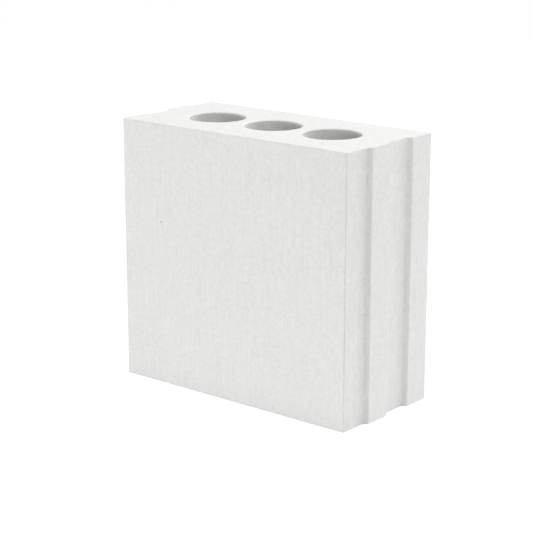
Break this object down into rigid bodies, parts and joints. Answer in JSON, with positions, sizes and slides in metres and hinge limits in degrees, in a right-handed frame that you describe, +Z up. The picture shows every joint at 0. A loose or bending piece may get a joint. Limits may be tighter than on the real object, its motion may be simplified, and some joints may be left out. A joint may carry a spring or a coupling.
{
  "type": "sand-lime block",
  "caption": "Tall pale sand-lime masonry block with upright round holes and tongue-and-groove ends.",
  "frame": {"origin": "centre of the bottom bed", "axes": "+X along the wall towards one interlocking end, +Y through the wall's thickness, +Z up"},
  "size_m": [0.252, 0.115, 0.238],
  "materials": {
    "sand_lime": "matte, fine grained, off-white"
  },
  "bodies": {
    "root": {"sand_lime_block": "sand_lime"}
  },
  "joints": []
}
